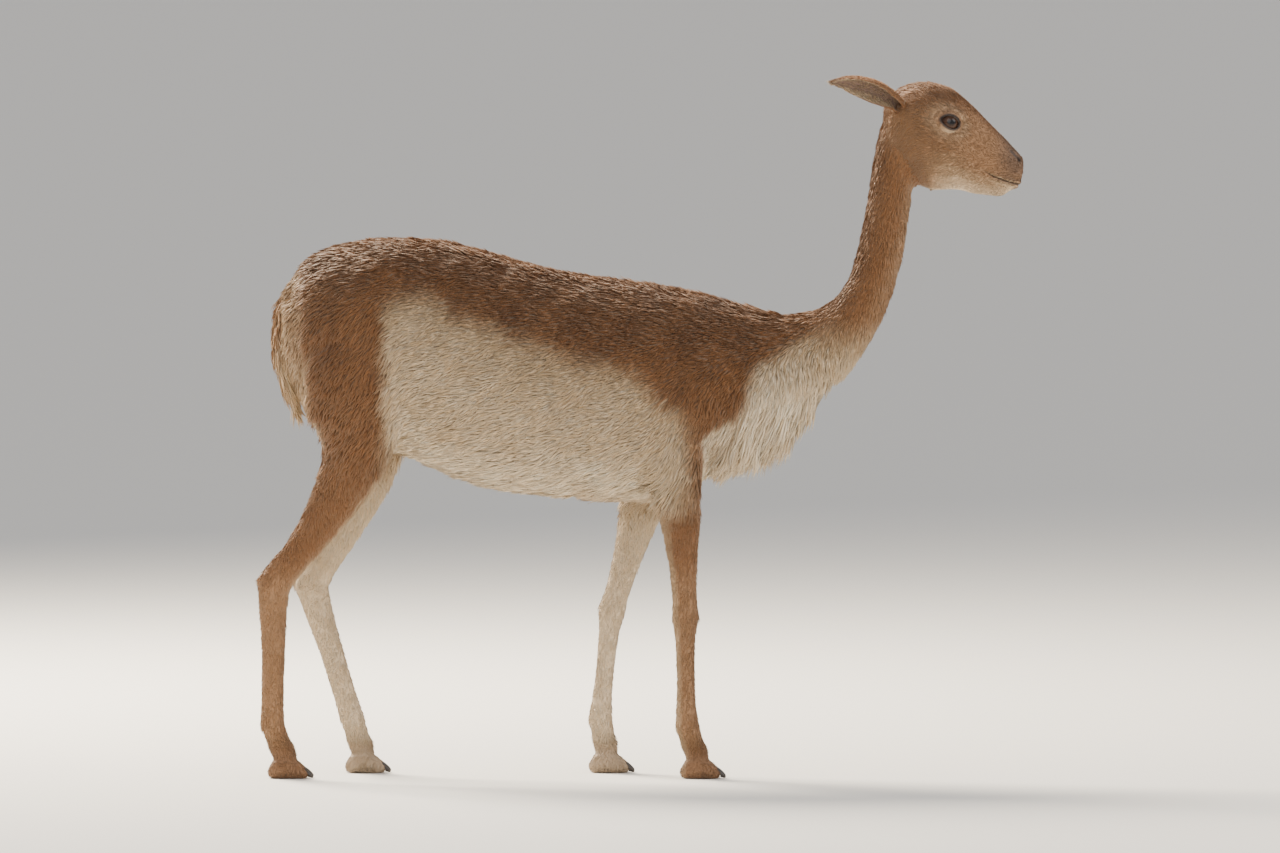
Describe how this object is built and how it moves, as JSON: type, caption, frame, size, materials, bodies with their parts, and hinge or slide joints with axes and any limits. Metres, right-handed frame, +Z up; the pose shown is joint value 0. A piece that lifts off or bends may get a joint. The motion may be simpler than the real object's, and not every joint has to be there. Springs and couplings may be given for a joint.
{
  "type": "vicuna",
  "caption": "Life-size still model of a standing vicuna in mid stride, with a raised head, laid-back ears, slender legs and a shaggy pale chest.",
  "frame": {"origin": "on the ground plane, under the middle of the animal's outline", "axes": "the animal faces -Y, its left side is +X, and +Z is up from the ground it stands on"},
  "size_m": [0.342, 1.3342, 1.2156],
  "materials": {
    "tawny_coat": "soft short wool, cinnamon",
    "pale_coat": "long loose hair, cream white",
    "eye": "wet, almost black brown",
    "nail": "worn dark horn"
  },
  "bodies": {
    "root": {"barrel": "tawny_coat", "chest": "pale_coat", "ear_left": "tawny_coat", "ear_right": "tawny_coat", "eye_left": "eye", "eye_right": "eye", "foreleg_left_foot": "tawny_coat", "foreleg_left_lower": "tawny_coat", "foreleg_left_nail_left": "nail", "foreleg_left_nail_right": "nail", "foreleg_left_upper": "tawny_coat", "foreleg_right_foot": "tawny_coat", "foreleg_right_lower": "tawny_coat", "foreleg_right_nail_left": "nail", "foreleg_right_nail_right": "nail", "foreleg_right_upper": "tawny_coat", "head": "tawny_coat", "hindleg_left_foot": "tawny_coat", "hindleg_left_lower": "tawny_coat", "hindleg_left_nail_left": "nail", "hindleg_left_nail_right": "nail", "hindleg_left_upper": "tawny_coat", "hindleg_right_foot": "tawny_coat", "hindleg_right_lower": "tawny_coat", "hindleg_right_nail_left": "nail", "hindleg_right_nail_right": "nail", "hindleg_right_upper": "tawny_coat", "hindquarters": "tawny_coat", "neck": "tawny_coat", "tail": "tawny_coat"}
  },
  "joints": []
}
